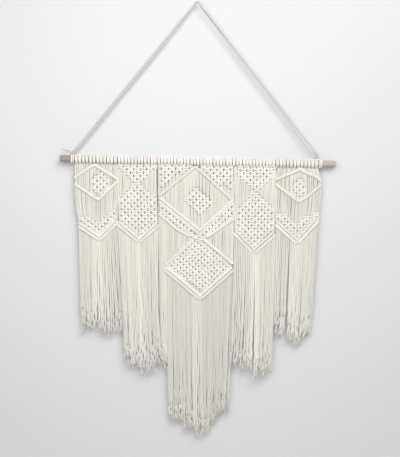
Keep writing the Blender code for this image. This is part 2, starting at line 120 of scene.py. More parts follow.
# Lines across a panel where its work changes: first cord, last cord, corners as x and drop
LINES = {
    "outer_left": {
        "arms": Line(0, 24, ((-338, 486), (-328, 476), (-290, 453), (-282, 448), (-272, 456),
                             (-219, 489))),
        "collar": Line(0, 24, ((-338, 502), (-302, 526), (-273, 545), (-247, 519), (-219, 495))),
        "chevron top": Line(0, 24, ((-327, 580), (-272, 608), (-221, 568))),
        "hem": Line(0, 24, ((-325, 615), (-270, 652), (-221, 603))),
    },
    "inner_left": {
        "yoke": Line(0, 24, ((-219, 458), (-165, 498), (-112, 458))),
        "shoulders": Line(0, 24, ((-219, 548), (-167, 503), (-111, 548))),
        "hem": Line(0, 24, ((-218, 610), (-161, 658), (-110, 613))),
    },
    "centre": {
        "roof": Line(0, 48, ((-105, 534), (-7, 455), (-3, 455), (100, 549))),
        "valley": Line(0, 48, ((-105, 539), (7, 629), (100, 544))),
        "second valley": Line(0, 24, ((-105, 551), (3.5, 638))),
        "band foot": Line(0, 48, ((-106, 583), (-56, 626), (-20, 646), (6, 656), (30, 646), (100, 597))),
        "diamond top": Line(5, 48, ((-86, 721), (-4, 651), (14, 651), (98, 721))),
        "hem": Line(5, 48, ((-86, 737), (7, 815), (98, 735))),
    },
    "inner_right": {
        "yoke": Line(0, 24, ((103, 466), (117, 484), (163, 524), (207, 484), (214, 474))),
        "shoulders": Line(0, 24, ((103, 571), (140, 540), (162, 530), (186, 545), (213, 572))),
        "hem": Line(0, 24, ((103, 634), (156, 688), (212, 639))),
    },
    "outer_right": {
        "arms": Line(0, 24, ((216, 490), (240, 479), (262, 471), (277, 464), (282, 458), (292, 467),
                             (305, 473), (322, 478), (341, 493))),
        "collar": Line(0, 24, ((216, 502), (280, 551), (297, 541), (341, 504))),
        "chevron top": Line(0, 24, ((217, 575), (276, 610), (331, 569))),
        "hem": Line(0, 24, ((218, 610), (275, 661), (331, 600))),
    },
}

# Runs of free cords: panel, line above, line below, first and last cord, how many cords' width
# their upper ends are moved to the right, and how far the first and the last bow to the right
RUNS = [Run(*row) for row in (
    ("outer_left", "heading", "arms", 0, 24, 0, 0, 0),
    ("outer_left", "arms", "collar", 0, 10, 0, 0, 0),
    ("outer_left", "arms", "collar", 18, 24, 0, 0, 0),
    ("outer_left", "collar", "chevron top", 0, 24, 0, -3, 3),
    ("inner_left", "heading", "yoke", 0, 2, 0, 0, 0),
    ("inner_left", "heading", "yoke", 22, 24, 0, 0, 0),
    ("inner_left", "yoke", "shoulders", 0, 24, 0, 0, 0),
    ("centre", "heading", "roof", 46, 48, 0, 0, 0),
    ("centre", "roof", "valley", 0, 18, 0, 0, 0),
    ("centre", "roof", "valley", 34, 48, 0, 0, 0),
    ("centre", "band foot", "diamond top", 5, 17, 0, 0, 0),
    ("centre", "band foot", "diamond top", 17, 21, 1, -5, -5),
    ("centre", "band foot", "diamond top", 29, 48, 0, 0, 0),
    ("inner_right", "heading", "hem", 0, 2, 0, 0, 0),
    ("inner_right", "heading", "hem", 21, 24, 0, 0, 0),
    ("inner_right", "yoke", "shoulders", 0, 24, 0, 0, 0),
    ("outer_right", "heading", "arms", 0, 7, 1.6, 0, 0),
    ("outer_right", "heading", "arms", 7, 24, 0, 0, 0),
    ("outer_right", "arms", "collar", 0, 9, 0, 0, 0),
    ("outer_right", "arms", "collar", 16, 24, 0, 0, 0),
    ("outer_right", "collar", "chevron top", 0, 24, 0, -3, 3),
)]

# Free cords: where the heading's start below the dowel's line, the share of a cord that they keep
# from a line's ends, the shortest that is made, the spacing of its stations, its girth against
# FREE, and its y
HEADING_BELOW = 12
EDGE_CORDS = 0.25
SHORTEST = 1
STATION_SPACING = 11
FREE_GIRTH = 1.1
FREE_Y = 0.3

# Where a run meets a net's loose ends: how far past the run they may lie, the pitch of its cords
# and how far these lap into the net
END_REACH = 2
FREE_PITCH = 4.7
LAP = 3.0

# How unevenly free cords hang: how many lie together, how far those bow alike, and then how each
# differs in bow, swing forward and girth
SWAY_CLUMP = 3
SWAY_SPREAD = 0.5
BOW_SPREAD = 0.4
FORWARD_SPREAD = 0.5
GIRTH_SPREAD = 0.03

# Single cords at the sides of panels, behind the rest: panel, x and drop of each end, then how far
# behind they lie and how far they bow
SIDE_CORDS = (
    ("outer_left", -221.5, 492, -220.5, 606),
    ("centre", -107.5, 447, -106.5, 590),
    ("centre", 102.0, 449, 98.0, 655),
    ("centre", 98.0, 650, 95.5, 760),
)
SIDE_CORD_BACK = 3.4
SIDE_CORD_BOW = 0.5

# Hitched ridges: panel, line, how many lie side by side
RIDGES = [Ridge(*row) for row in (
    ("outer_left", "arms", 1),
    ("outer_left", "collar", 1),
    ("outer_left", "hem", 2),
    ("inner_left", "hem", 2),
    ("centre", "roof", 1),
    ("centre", "valley", 1),
    ("centre", "second valley", 1),
    ("centre", "band foot", 1),
    ("centre", "diamond top", 1),
    ("centre", "hem", 2),
    ("inner_right", "hem", 2),
    ("outer_right", "arms", 1),
    ("outer_right", "collar", 1),
    ("outer_right", "hem", 2),
)]

# Lines whose ridge leaves a neck open, from one x to another, where the net carries on through
NECKS = {("centre", "band foot"): (-19, 27), ("centre", "diamond top"): (-13, 18)}

# Nets of square knots: panel, the lines its loose cords run up and down to, and its lattice. A
# knot sits at start + a x first step + b x second step, for whole numbers a and b, and is tied
# where that lies inside the net's outline, with both numbers within the net's reach. Cords that
# run up to the heading lean in a little, and cords that pass a row at the side bow out a little.
NETS = [Net(*row) for row in (
    ("outer_left", "chevron top", "hem", (-271, 636), (8.3, -8.7), (-10.0, -7.9),
     ((-323, 583), (-302, 595), (-283, 603), (-272, 604), (-258, 598), (-241, 582), (-227, 569),
      (-227, 594), (-270, 642), (-318, 610), (-323, 603))),
    ("outer_left", "arms", "collar", (-268, 493), (9.2, -8.8), (-9.2, -8.8),
     ((-268, 472), (-290, 493), (-288, 515), (-270, 534), (-248, 512), (-247, 493))),
    ("inner_left", "heading", "yoke", (-167, 498), (9.1, -9.1), (-9.1, -9.1),
     ((-222, 447), (-112, 447), (-167, 503))),
    ("inner_left", "shoulders", "hem", (-174, 546), (8.7, -8.6), (-9.3, -8.6),
     ((-160, 506), (-172, 506), (-209, 539), (-217, 546), (-217, 600), (-162, 647), (-114, 602),
      (-114, 545), (-122, 538))),
    ("centre", "heading", "roof", (-70, 477), (9.7, -8.5), (-9.7, -8.5),
     ((-106, 448), (-14, 448), (-105, 520))),
    ("centre", "heading", "roof", (54, 472), (9.2, -9.0), (-9.2, -9.0),
     ((7, 449), (97, 449), (97, 530))),
    ("centre", "roof", "valley", (-4, 518.5), (8.5, -8.8), (-9.3, -8.6),
     ((-4.4, 509.8), (42.1, 552.8), (8.1, 588), (-38.4, 545))),
    ("centre", "valley", "band foot", (-47, 616), (8.6, -8.8), (-9.7, -7.7),
     ((-104, 552), (-48, 598), (9, 646), (4, 658), (-22, 644), (-58, 621), (-103, 580))),
    ("centre", "valley", "band foot", (33, 617), (8.8, -8.6), (-8.8, -8.6),
     ((97, 549.5), (2, 638), (10, 657), (15, 656), (29, 641), (98, 592))),
    ("centre", "diamond top", "hem", (2, 689), (8.0, -8.7), (-8.7, -7.2),
     ((6, 654), (-6, 664), (-12, 653), (-22, 660), (-81, 728), (7, 800), (93, 729))),
    ("inner_right", "heading", "yoke", (164, 500), (9.1, -8.8), (-9.1, -8.8),
     ((112, 451), (213, 451), (206, 480), (176, 517), (164, 522), (151, 517), (118, 480))),
    ("inner_right", "shoulders", "hem", (160, 565), (9.1, -8.6), (-8.6, -8.6),
     ((150, 533), (161, 527), (174, 533), (186, 543), (208, 570), (208, 632), (157, 675), (113, 627),
      (114, 566), (139, 541))),
    ("outer_right", "chevron top", "hem", (275, 641), (8.7, -9.2), (-8.6, -8.6),
     ((220, 578), (242, 589), (258, 604), (269, 615), (280, 615), (291, 603), (308, 589),
      (328, 572), (328, 589), (275, 644), (220, 596))),
    ("outer_right", "arms", "collar", (274, 502), (8.8, -8.7), (-8.8, -8.7),
     ((279, 480), (260, 501), (261, 518), (280, 540), (300, 520), (300, 501))),
)]
NET_REACH = 16
HEADING_LEAN = 1.2
SIDE_LOOP_BOW = 0.9


def mirrored_below(upper, *middle):
    """Stations of a knot's cord from those of its upper half, which the lower half mirrors."""
    lower = [(x, -height, y, radius) for x, height, y, radius in reversed(upper)]
    return *upper, *middle, *lower


# One square knot: stations of x, height, y and radius. The front cord crosses twice in front of
# two straight cords, and the back cord crosses twice behind them and turns over the front one.
# Its cords leave at the first of each pair of distances from its middle, and hang at the second.
KNOT_HALF = 4.4
KNOT_CORDS = ((2.8, 2.3), (6.3, 6.85))
FRONT_CORD = mirrored_below((
    (-6.3, 4.4, 0.0, FREE), (-6.0, 3.8, -1.2, TIGHT), (-4.4, 3.3, -2.9, TIGHT),
    (-1.8, 2.9, -3.7, TIGHT), (1.4, 2.6, -3.8, TIGHT), (4.3, 2.0, -3.1, TIGHT),
), (5.8, 0.0, -1.6, TIGHT))
BACK_CORD = mirrored_below((
    (6.3, 4.4, 0.0, FREE), (6.3, 3.4, -0.7, TIGHT), (5.7, 2.4, 1.0, TIGHT),
    (3.6, 1.9, 2.8, TIGHT), (0.0, 1.9, 3.7, TIGHT), (-3.8, 1.5, 2.8, TIGHT),
    (-5.9, 0.8, 0.0, TIGHT),
), (-5.6, 0.0, -2.9, TIGHT))
MIDDLE_CORD = mirrored_below(((-2.8, 4.4, 0.3, FREE), (-1.8, 2.8, 0.2, TIGHT)))

# How unevenly square knots are tied: their size, lean and place
KNOT_SIZE_SPREAD = 0.03
KNOT_LEAN_SPREAD = 0.05
KNOT_PLACE_SPREAD = 0.3

# Half of a lark's head: its tail as x from its middle, drop below the dowel's line, and y, then
# stations of x, distance from the dowel's line, and angle round it in degrees from the front over
# the top. The other half mirrors it, joined at the bar, which lies behind. Heads vary in size and
# place.
HEAD_TAIL = ((-2.2, 14.6, 1.6), (-2.2, 12.8, 4.2))
HEAD_CORD = (
    (-2.2, 10.9, 225), (-2.2, 10.9, 180), (-2.25, 11.0, 135), (-2.3, 11.1, 90), (-2.3, 11.1, 45),
    (-1.85, 11.0, 0), (-1.6, 11.0, -45), (-1.6, 10.9, -85), (-2.6, 12.2, -112), (-2.4, 14.2, -132),
    (0.0, 14.5, -138),
)
HEAD_RADIUS = 2.05
HEAD_SIZE_SPREAD = 0.035
HEAD_PLACE_SPREAD = 0.25

# Fringe in sections: panel, line it leaves, first and last cord, left and right end of the
# section's foot, drop of its first, middle and last cord, how far forward its foot swings, how
# late it drifts to its foot (1 is evenly, more is later), and what is added to its tone as painted
# shade (less is darker), which darkens the centre's long fringe where it hangs lowest
FRINGES = [Fringe(*row) for row in (
    ("outer_left", "hem", 0, 11, -323, -275, (884, 896, 890), 0, 1.2, 0.0),
    ("outer_left", "hem", 11, 24, -273, -196, (908, 914, 905), 0, 1.0, 0.0),
    ("inner_left", "hem", 0, 9, -199, -168, (972, 990, 990), 4, 1.0, 0.0),
    ("inner_left", "hem", 9, 20, -166, -118, (1006, 1012, 1002), 5, 1.1, 0.0),
    ("inner_left", "hem", 20, 24, -114, -92, (994, 984, 978), 8, 5.0, 0.0),
    ("centre", "band foot", 0, 5, -104, -84, (985, 1000, 990), 0, 1.0, 0.0),
    # These two hang lowest and carry painted shade in their tone
    ("centre", "hem", 5, 26, -80, 6, (1135, 1162, 1190), 0, 1.3, -0.6),
    ("centre", "hem", 26, 48, 8, 86, (1192, 1150, 1115), 0, 1.3, -0.6),
    ("inner_right", "hem", 0, 12, 86, 150, (988, 1004, 1020), 8, 1.5, 0.0),
    ("inner_right", "hem", 12, 24, 153, 204, (1028, 1024, 1008), 6, 1.7, 0.0),
    ("outer_right", "hem", 0, 8, 207, 242, (894, 906, 918), 0, 1.0, 0.0),
    ("outer_right", "hem", 8, 24, 245, 313, (925, 936, 908), 0, 1.15, 0.0),
)]

# Fringe cords: spacing of their stations, by what share it is wider at the top and closer at the
# foot, how quickly the swing is reached (3 is in a third of the length), and girth against FREE at
# the top and the foot
FRINGE_SPACING = 8.0
TOP_WIDER = 0.35
SWING_PACE = 3
FRINGE_GIRTH = (1.05, 1.2)

# Cords near a panel's middle hang proud of the rest and are painted brighter, as painted light
# where they stand forward into the light: how many cords' width that reaches, how far forward they
# hang, where that peaks (1 is half-way, less is higher up), and how much their tone gains as painted
# light
MIDDLE_WIDTH = 2.6
PROUD = 2.5
PROUD_PEAK = 0.7
PAINTED_LIGHT_MIDDLE = 1.1

# How unevenly the fringe hangs: how many cords lie in a clump, how far and how late they are drawn
# together, and how clumps differ in depth. Single cords differ in foot, in length and, up to a
# limit, in depth.
FRINGE_CLUMP = 4
CLUMP_PULL = 0.5
CLUMP_LATE = 2
CLUMP_SPREAD = 0.8
FOOT_SPREAD = 0.9
LENGTH_SPREAD = 7
DEPTH_LIMIT = 1.8

# Waves along a cord: their shortest and longest length, how far they swing and how late they grow,
# and then how large they are front to back
WAVES = ((90, 150, 0.9, 1), (26, 46, 1.4, 3))
WAVES_FORWARD = 0.7

# Cords come apart into plies over their last stations: the fewest, and one more than the most.
# Plies have a radius at the start and one at the end, make the least to the most turns in a few
# stations, and lie away from the cord's middle, at the end by the least to the most further.
APART_STATIONS = (3, 9)
PLIES = 3
PLY_RADII = (1.495, 1.04)
PLY_TURNS = (0.5, 1.2)
PLY_TURN_STATIONS = 3
PLY_AWAY = 1.1
PLY_FURTHER = (0.3, 1.8)

# How unevenly plies end: in twist, in curl aside, a cord's plies together and each alone, in curl
# forward, and in drop, from the least to the most
TWIST_SPREAD = 0.5
CURL_SPREAD = 3.0
PLY_CURL_SPREAD = 1.5
PLY_FORWARD_SPREAD = 1.2
PLY_DROPS = (-6, 3)

# How late plies change along their length (1 is evenly, more is later): in their turns, in how
# far away they lie, in curl aside, in curl forward and in drop
TURNS_LATE = 0.8
FURTHER_LATE = 1.5
CURL_LATE = 3
FORWARD_LATE = 2
DROP_LATE = 2

# Hairs at an end: how many, where they start above and beside it, the least and the most that
# they reach down and aside, their radius and the share of it that they lose, and their stations
# as shares of a hair
FRAY_HAIRS = 4
HAIR_ABOVE = 1.5
HAIR_BESIDE = 0.5
HAIR_DOWN = (4, 13)
HAIR_ASIDE = (0.4, 3.2)
HAIR_RADIUS = 0.55
HAIR_TAPER = 0.75
HAIR_STATIONS = (0.0, 0.35, 0.7, 1.0)

# Hanger: how far each of its two strands lies from the middle between them, and that middle as x,
# drop, and how far off each strand is in the plane of the hanging. Where that is less, one strand
# passes behind the other. Then their length in metres, the spacing of their stations, the plies'
# turn and relief, and their tone.
STRAND_AWAY = 2.25
HANGER_ROUTE = (
    (-338.0, 410.8, 2.25),
    (-229, 277, 2.25),
    (-115, 138.5, 2.1),
    (-40, 46.5, 1.4),
    (-12.5, 13, 0.5),
    (-6.5, 3, 0.1),
    (0, -2, 0.0),
    (6.5, 3, 0.1),
    (12.5, 13.5, 0.5),
    (40, 49.5, 1.4),
    (108, 138, 2.2),
    (214.5, 275, 2.25),
    (261, 336.5, 3.4),
    (298, 386, 4.6),
    (314.5, 406, 4.2),
    (325, 417.5, 2.5),
)
STRAND_STEP = 1.6
PLY_TURN = 17.0
PLY_RELIEF = 0.11
HANGER_TONE = 0.5

# Hanger knots: x of the wraps' first and last turn round the dowel, middle and lean of the lump on
# top, the loose tail with its radius, and how wraps and lumps are wound
LEFT_WRAPS = (-350.5, -340.5)
RIGHT_WRAPS = (333.5, 342.5)
LEFT_LUMP = (-343.8, 416.0)
RIGHT_LUMP = (328.5, 423.0)
LUMP_LEAN = 0.6
LEFT_TAIL = (
    (-345, 419, -4, 2.0), (-349, 413, -5, 2.0), (-356, 409.5, -4, 2.0), (-363, 408.5, -3, 1.9),
    (-370, 406, -2, 1.7),
)
WRAP_TURNS = 2
WRAP_STATIONS = 16
WRAP_START = 60
LUMP_STATIONS = 48
LUMP_SIZE = 1.9
LUMP_DEPTH = 1.6
LUMP_RADIUS = 1.8

# Cotton finishes: name, colour of the plies and of the grooves, length of a ply in metres, how
# much the grooves shade, and how deep they are in metres. All are one cream cotton in lit and
# shaded copies: knotted work is painted lighter as painted light, free and hanging cords darker as
# painted shade, and frayed ends lighter than those as painted light. The hanger's cord is greyer,
# partly its own tone and partly painted shade. The grooves' darker colour is painted shade.
COTTONS = {
    "knotted": ("knotted cream cotton with painted light", (0.93, 0.905, 0.855), (0.72, 0.67, 0.59), 0.0055, 0.30, 0.0006),
    "hanging": ("hanging cream cotton with painted shade", (0.77, 0.745, 0.69), (0.58, 0.53, 0.46), 0.0058, 0.35, 0.0007),
    "frayed": ("frayed cream cotton with painted light", (0.83, 0.805, 0.755), (0.62, 0.57, 0.50), 0.0058, 0.35, 0.0004),
    "hanger": ("greyer hanger cotton with painted shade", (0.61, 0.60, 0.585), (0.44, 0.43, 0.415), 0.0057, 0.35, 0.0003),
}

# Shine of all cotton, by the shader's inputs, and how strongly its surface stands in relief
COTTON_SHINE = {"Sheen Weight": 0.25, "Sheen Roughness": 0.6, "Specular IOR Level": 0.2}
COTTON_RELIEF = 0.8

# Cotton surface, shared by all cords: how quickly fibres and slow changes go along a metre of
# cord, from ply to ply and from tone to tone, and how finely, and then its sockets
FIBRES_ALONG = 260.0
FIBRES_ACROSS = 9.0
FIBRES_BY_TONE = 40.0
FIBRE_DETAIL = 3.0
SLOW_ALONG = 22.0
SLOW_BY_TONE = 90.0
SLOW_DETAIL = 2.0
SURFACE_SOCKETS = (
    ("INPUT", "NodeSocketVector", ("Cord Map",)),
    ("INPUT", "NodeSocketFloat", ("Tone", "Ply Length", "Groove Shade")),
    ("INPUT", "NodeSocketColor", ("Light Colour", "Painted Groove Shade Colour")),
    ("OUTPUT", "NodeSocketColor", ("Colour",)),
    ("OUTPUT", "NodeSocketFloat", ("Roughness", "Height")),
)

# Its brightness starts at the least and gains by tone, slow changes and fibres. Its roughness and
# height gain by fibres, and its height follows the rounding of the plies.
LEAST_BRIGHT = 0.875
BRIGHT_BY_TONE = 0.12
BRIGHT_BY_SLOW = 0.07
BRIGHT_BY_FIBRES = 0.06
LEAST_ROUGH = 0.84
ROUGH_BY_FIBRES = 0.12
HIGH_BY_FIBRES = 0.35
PLY_ROUNDING = 0.6

# Wood: colour at the dowel's left and right, and how quickly the grain goes along a metre of it
# and across. Pairs are a gain and a start: of the change of colour by metres of x, and of
# brightness and roughness by grain. Then the grain's noise, and its relief: how deep in metres,
# and how strong.
WOOD_COLOURS = ((0.35, 0.268, 0.26, 1), (0.48, 0.44, 0.375, 1))
GRAIN_STRETCH = (14.0, 320.0, 320.0)
WOOD_CHANGE = (1.3, 0.5)
WOOD_BRIGHT = (0.5, 0.72)
WOOD_ROUGH = (0.2, 0.5)
WOOD_NOISE = {"Scale": 1.0, "Detail": 6.0, "Distortion": 0.6}
WOOD_RELIEF = (0.0004, 0.5)

# Lights: name, x, drop, y, size in metres, power, colour. They all face one spot of the hanging.
LIGHTS = (
    ("window", 800, -850, -1700, 1.6, 29, (1.0, 0.99, 0.975)),
    ("room", -320, 120, -1300, 1.4, 11, (1.0, 1.0, 0.995)),
    ("behind the wall", 0, 600, 2200, 1.6, 12, (1.0, 1.0, 1.0)),
)
LIT_SPOT = (0, 600, 0)

# Even light of the room
ROOM_LIGHT = (0.96, 0.975, 1.0, 1)
ROOM_STRENGTH = 0.33

# Backdrop and floor: name, colour and roughness of each, the shine of both, half their width, y of
# the backdrop, its top, and the floor's drop, front and back
BACKDROP_LOOK = ("white backdrop", (0.72, 0.72, 0.725), 0.9)
FLOOR_LOOK = ("pale floor", (0.82, 0.82, 0.81), 0.8)
STAGE_SHINE = 0.1
STAGE_HALF = 2600
BACKDROP_Y = 17.0
BACKDROP_TOP = -1600
FLOOR_DROP = 1500.0
FLOOR_FRONT = -3400
FLOOR_BACK = 2400


# Shapes of cord ---------------------------------------------------------------------------------

def place(spots):
    """Points in metres from rows of x, drop and y in millimetres."""
    spots = np.asarray(spots, float)
    return np.stack([spots[..., 0], spots[..., 2], -spots[..., 1]], -1) * MM


def smooth(stations, steps):
    """A smooth curve through stations, a few steps to each span. Any columns are carried along."""
    spots = np.asarray(stations, float)
    padded = np.vstack([2 * spots[0] - spots[1], spots, 2 * spots[-1] - spots[-2]])
    p0, p1, p2, p3 = padded[:-3, None], padded[1:-2, None], padded[2:-1, None], padded[3:, None]
    t = (np.arange(steps) / steps)[None, :, None]
    slope = (p2 - p0) * t
    square = (2 * p0 - 5 * p1 + 4 * p2 - p3) * t ** 2
    cube = (3 * p1 - p0 - 3 * p2 + p3) * t ** 3
    curve = (2 * p1 + slope + square + cube) / 2
    return np.vstack([curve.reshape(-1, spots.shape[1]), spots[-1:]])


def even_steps(path, step):
    """The same path with its spots a step apart."""
    travelled = np.concatenate([[0], np.cumsum(np.linalg.norm(np.diff(path, axis=0), axis=1))])
    at = np.linspace(0, travelled[-1], max(int(travelled[-1] / step), 2) + 1)
    return np.stack([np.interp(at, travelled, column) for column in path.T], -1)


def new_object(name, data):
    made = bpy.data.objects.new(name, data)
    bpy.context.scene.collection.objects.link(made)
    return made


def unit(vectors):
    return vectors / np.maximum(np.linalg.norm(vectors, axis=-1, keepdims=True), 1e-9)


def frames(middles):
    """Two directions across each of many paths, carried along without twisting. They start from
    y, or from x where a path starts along y."""
    along = unit(np.gradient(middles, axis=1))
    first = np.zeros_like(along)
    second = np.zeros_like(along)
    away = np.where(np.abs(along[:, 0, 1:2]) < ALONG_Y, [[0.0, 1.0, 0.0]], [[1.0, 0.0, 0.0]])
    for index in range(middles.shape[1]):
        here = along[:, index]
        away = unit(away - (away * here).sum(-1, keepdims=True) * here)
        first[:, index] = away
        second[:, index] = np.cross(here, away)
    return first, second


class Cords:
    """Round tubes gathered into one mesh. Each tube keeps its length and girth as its map, and a
    tone of its own, at random, plus any painted light or painted shade that it is given."""

    def __init__(self, sides=CORD_SIDES):
        self.sides = sides
        self.tubes = {}
        self.tones = {}

    def add(self, stations, painted_tone=0.0):
        stations = np.asarray(stations, float)
        self.tubes.setdefault(len(stations), []).append(stations)
        self.tones.setdefault(len(stations), []).append(rng.uniform(0, 1) + painted_tone)

    def build(self, name, finish, solid):
        """The tubes as one piece that stands for a solid. Tubes of equal length go together."""
        points, quads, maps, tones = [], [], [], []
        base = 0
        for count in sorted(self.tubes):
            tubes = np.stack(self.tubes[count])
            middles = place(tubes[..., :3])
            points.append(tube_points(middles, tubes[..., 3:], self.sides))
            quads.append(tube_quads(len(tubes), count, self.sides) + base)
            maps.append(tube_map(middles, self.sides))
            tones.append(np.repeat(self.tones[count], count * self.sides))
            base += len(points[-1])
        return piece(name, finish, points, quads, maps, tones, solid)


def tube_points(middles, radii, sides):
    """Rings of points round the middle lines of tubes. Each ring has one radius, or one a side."""
    first, second = frames(middles)
    angle = math.tau * np.arange(sides) / sides
    ring = np.cos(angle)[:, None] * first[:, :, None] + np.sin(angle)[:, None] * second[:, :, None]
    return (middles[:, :, None] + radii[..., None] * MM * ring).reshape(-1, 3)


def tube_quads(total, count, sides):
    """Quads between the rings of tubes, and then those that close their ends."""
    start = (np.arange(total) * count * sides)[:, None, None]
    row = (np.arange(count - 1) * sides)[None, :, None]
    side = np.arange(sides)
    beside = (side + 1) % sides
    low = start + row
    walls = np.stack([low + side, low + beside, low + beside + sides, low + side + sides], -1)
    last = start + row[:, -1:] + sides
    ends = np.concatenate([start + cap_quads(side[::-1]), last + cap_quads(side)])
    return np.concatenate([walls.reshape(-1, 4), ends.reshape(-1, 4)])


def tube_map(middles, sides):
    """Length and share of the girth at each corner of those quads. The ends have no girth."""
    total = len(middles)
    steps = np.linalg.norm(np.diff(middles, axis=1), axis=2)
    length = np.concatenate([np.zeros((total, 1)), np.cumsum(steps, axis=1)], axis=1)
    length += rng.uniform(0, MAP_START, (total, 1))
    near = np.repeat(length[:, :-1, None], sides, 2)
    far = np.repeat(length[:, 1:, None], sides, 2)
    left = np.broadcast_to(np.arange(sides) / sides, near.shape)
    right = left + 1 / sides
    walls = [np.stack(corner, -1) for corner in ((near, left), (near, right), (far, right), (far, left))]
    end_corners = 4 * len(cap_quads(np.arange(sides)))
    ends = np.repeat(np.concatenate([length[:, 0], length[:, -1]]), end_corners)
    flat = np.stack([ends, np.zeros_like(ends)], -1)
    return np.concatenate([np.stack(walls, -2).reshape(-1, 2), flat])


def cap_quads(ring):
    """Quads that close a ring of corners. A triangle is a quad with its last corner doubled."""
    last = len(ring) - 1
    return np.array([
        ring[[0, corner, corner + 1, min(corner + 2, last)]] for corner in range(1, last, 2)
    ])


def piece(name, finish, points, quads, maps, tones, solid):
    """A piece that stands for a solid, from stacks of points, quads, map corners and tones."""
    points, quads = np.concatenate(points), np.concatenate(quads)
    faces = [face if face[2] != face[3] else face[:3] for face in quads.tolist()]
    used = np.repeat(quads[:, 2] != quads[:, 3], 4) | np.tile([True, True, True, False], len(quads))
    mesh = bpy.data.meshes.new(name)
    mesh.from_pydata(points.tolist(), [], faces)
    mesh.uv_layers.new(name="length and girth")
    mesh.uv_layers[0].data.foreach_set("uv", np.concatenate(maps)[used].astype(np.float32).ravel())
    tone = mesh.attributes.new("tone", "FLOAT", "POINT")
    tone.data.foreach_set("value", np.concatenate(tones).astype(np.float32))
    mesh.shade_smooth()
    mesh.materials.append(finish)
    made = new_object(name, mesh)
    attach(made, BODY)
    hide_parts(solid)
    return made


def dowel_drop(x):
    """Drop of the dowel's centre line at x."""
    share = (x - DOWEL_LEFT[0]) / (DOWEL_RIGHT[0] - DOWEL_LEFT[0])
    return DOWEL_LEFT[1] + share * (DOWEL_RIGHT[1] - DOWEL_LEFT[1])


def round_dowel(x, away, degrees):
    """A spot round the dowel: its distance from the centre line, and its angle from the front
    over the top."""
    angle = math.radians(degrees)
    return x, dowel_drop(x) - away * math.sin(angle), -away * math.cos(angle)


def along_line(line, cord):
    """Where a cord, counted from the panel's left edge, crosses a line."""
    corners = line.corners
    share = (cord - line.first) / (line.last - line.first)
    x = corners[0][0] + share * (corners[-1][0] - corners[0][0])
    for (x0, drop0), (x1, drop1) in zip(corners, corners[1:]):
        if x <= x1 or (x1, drop1) == corners[-1]:
            return x, drop0 + (x - x0) / (x1 - x0) * (drop1 - drop0)


def heading_line(panel):
    cords, left, right = PANELS[panel]
    return Line(0, cords, tuple((x, dowel_drop(x) + HEADING_BELOW) for x in (left, right)))


# Panels -----------------------------------------------------------------------------------------

def larks_head(cords, x):
    """One cord folded in half and drawn round the dowel."""
    girth = rng.normal(1.0, HEAD_SIZE_SPREAD)
    half = [
        (*round_dowel(x + across, away * girth, turn), HEAD_RADIUS) for across, away, turn in HEAD_CORD
    ]
    tail = [(x + across, dowel_drop(x) + down, y, HEAD_RADIUS) for across, down, y in HEAD_TAIL]
    left = np.array(tail + half)
    right = left[-2::-1].copy()
    right[:, 0] = 2 * x - right[:, 0]
    right[:, 1] += dowel_drop(x + 1) - dowel_drop(x)
    cords.add(smooth(np.vstack([left, right]), steps=2))


def heading(panel):
    cords = Cords()
    count, left, right = PANELS[panel]
    heads = count // 2
    for head in range(heads):
        middle = left + (right - left) * (head + 0.5) / heads
        larks_head(cords, middle + rng.normal(0, HEAD_PLACE_SPREAD))
    return cords


def inside(outline, x, drop):
    """Whether a spot lies inside a closed outline."""
    within = False
    for (x0, drop0), (x1, drop1) in zip(outline, outline[1:] + outline[:1]):
        if (drop0 > drop) != (drop1 > drop) and x < x0 + (x1 - x0) * (drop - drop0) / (drop1 - drop0):
            within = not within
    return within


def net_knots(net):
    """Middles of a net's knots by their place in the lattice."""
    start, first, second = np.array(net.start), np.array(net.first_step), np.array(net.second_step)
    knots = {}
    for a in range(-NET_REACH, NET_REACH + 1):
        for b in range(-NET_REACH, NET_REACH + 1):
            spot = start + a * first + b * second
            if inside(net.outline, *spot):
                knots[a, b] = spot
    return knots


class Knot:
    """A square knot's size and slant, from the steps to its upper right and upper left."""

    def __init__(self, first, second):
        first, second = np.array(first), np.array(second)
        self.across = (first - second) / KNOT_PITCH
        self.upward = (first + second) / (2 * KNOT_ROW)

    def spot(self, centre, u, v):
        """Where a station of the knot as drawn, u across and v up, lies when it is fitted."""
        return centre + u * self.across + v * self.upward

    def tie(self, cords, centre):
        """Tie one, a little unevenly, with its ends kept in place."""
        size = rng.normal(1.0, KNOT_SIZE_SPREAD)
        lean = rng.normal(0.0, KNOT_LEAN_SPREAD)
        slip = rng.normal(0.0, KNOT_PLACE_SPREAD, 2)
        mirrored = np.array(MIDDLE_CORD) * (-1, 1, 1, 1)
        for template in (FRONT_CORD, BACK_CORD, MIDDLE_CORD, mirrored):
            u, v, y, radius = smooth(template, steps=2).T[:, :, None]
            tight = 1 - np.abs(v) / KNOT_HALF
            flat = self.spot(centre, u * (1 + (size - 1) * tight), v + lean * u * tight)
            cords.add(np.hstack([flat + slip * tight, y * size, radius]))


def slack(start, end, bow, forward):
    """A free cord from one spot to another, bowed a little sideways and forward."""
    length = math.hypot(end[0] - start[0], end[1] - start[1])
    t = np.linspace(0, 1, max(int(length / STATION_SPACING), 2) + 2)
    arch = np.sin(math.pi * t)
    x = start[0] + (end[0] - start[0]) * t + bow * arch
    radius = np.full_like(t, FREE * rng.normal(FREE_GIRTH, GIRTH_SPREAD))
    return np.stack([x, start[1] + (end[1] - start[1]) * t, FREE_Y + forward * arch, radius], -1)


